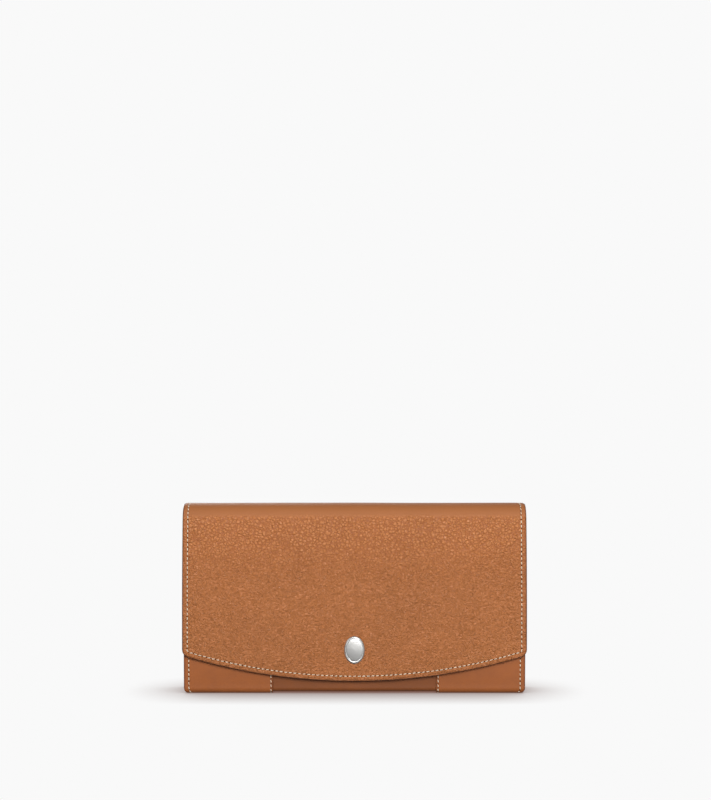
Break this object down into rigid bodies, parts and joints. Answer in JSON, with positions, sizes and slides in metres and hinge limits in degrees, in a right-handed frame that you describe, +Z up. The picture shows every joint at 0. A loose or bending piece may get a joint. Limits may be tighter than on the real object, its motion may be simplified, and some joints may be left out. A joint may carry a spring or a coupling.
{
  "type": "long flap wallet",
  "caption": "Upright long wallet in tan leather with a curved snap flap, card strips inside both walls, two note compartments and a zipped coin pocket between pleated gussets.",
  "frame": {"origin": "bottom centre of the bounding box, on the table", "axes": "+X to the right along the width as seen from the flap's front, +Y from the flap's front to the back, +Z up"},
  "size_m": [0.19, 0.0318, 0.105],
  "materials": {
    "grained_leather": "pebble-grained calf leather, semi-gloss, honey tan, painted edges",
    "body_leather": "smooth calf leather, semi-gloss, tan",
    "inner_leather": "thin smooth leather, satin, tan",
    "lining_fabric": "plain-weave lining cloth, matt, beige",
    "zip_tape": "herringbone-woven tape, matt, brown",
    "fibreboard": "pressed leather-fibre board, matt, brown",
    "ornament_metal": "satin silver-coloured plating with a polished rim",
    "snap_metal": "plated steel, semi-polished",
    "zip_metal": "bright nickel-coloured plating"
  },
  "bodies": {
    "body": {"base_overlay_left": "body_leather", "base_overlay_right": "body_leather", "base_panel": "body_leather", "base_board": "fibreboard", "base_lining": "lining_fabric", "back_panel": "grained_leather", "back_board": "fibreboard", "back_lining": "lining_fabric", "card_strip_back_1": "inner_leather", "card_strip_back_2": "inner_leather", "card_strip_back_3": "inner_leather", "card_strip_back_4": "inner_leather", "gusset_left": "inner_leather", "gusset_right": "inner_leather"},
    "flap_top": {"flap_top_leather": "grained_leather", "flap_top_lining": "inner_leather"},
    "flap_front": {"flap_front_leather": "grained_leather", "flap_board": "fibreboard", "flap_front_lining": "inner_leather", "flap_ornament": "ornament_metal", "snap_socket": "snap_metal"},
    "front_wall": {"front_side_panel_left": "body_leather", "front_side_panel_right": "body_leather", "front_center_panel": "body_leather", "front_board": "fibreboard", "front_lining": "lining_fabric", "card_strip_front_1": "inner_leather", "card_strip_front_2": "inner_leather", "snap_stud": "snap_metal"},
    "coin_pocket": {"coin_pocket_shell": "inner_leather", "coin_pocket_lining": "lining_fabric", "zip_tape_front": "zip_tape", "zip_tape_back": "zip_tape", "zip_teeth_front": "zip_metal", "zip_teeth_back": "zip_metal", "zip_top_stop_front": "zip_metal", "zip_top_stop_back": "zip_metal", "zip_bottom_stop": "zip_metal"},
    "slider": {"zip_slider": "zip_metal"},
    "pull_tab": {"zip_pull": "zip_metal"}
  },
  "joints": [
    {"name": "flap_hinge", "type": "hinge", "parent": "body", "child": "flap_top", "pos_m": [0, 0.01536, 0.09908], "axis": [-1, 0, 0], "range_deg": [0, 135]},
    {"name": "flap_fold", "type": "hinge", "parent": "flap_top", "child": "flap_front", "pos_m": [0, -0.00837, 0.10207], "axis": [-1, 0, 0], "range_deg": [0, 75]},
    {"name": "front_lean", "type": "hinge", "parent": "body", "child": "front_wall", "pos_m": [0, -0.00978, 0.004], "axis": [1, 0, 0], "range_deg": [0, 20], "deforming": ["gusset_left", "gusset_right"]},
    {"name": "coin_lean", "type": "hinge", "parent": "body", "child": "coin_pocket", "pos_m": [0, -0.00978, 0.004], "axis": [1, 0, 0], "range_deg": [0, 10]},
    {"name": "zip_slide", "type": "slide", "parent": "coin_pocket", "child": "slider", "axis": [-1, 0, 0], "range_m": [0, 0.1509]},
    {"name": "pull_swing", "type": "hinge", "parent": "slider", "child": "pull_tab", "pos_m": [0.07545, 0.00258, 0.08765], "axis": [0, 1, 0], "range_deg": [0, 175]}
  ],
  "couplings": [
    {"joint": "flap_fold", "follows": "flap_hinge", "ratio": 0.5555},
    {"joint": "front_lean", "follows": "flap_hinge", "ratio": 0.148},
    {"joint": "coin_lean", "follows": "flap_hinge", "ratio": 0.074}
  ]
}
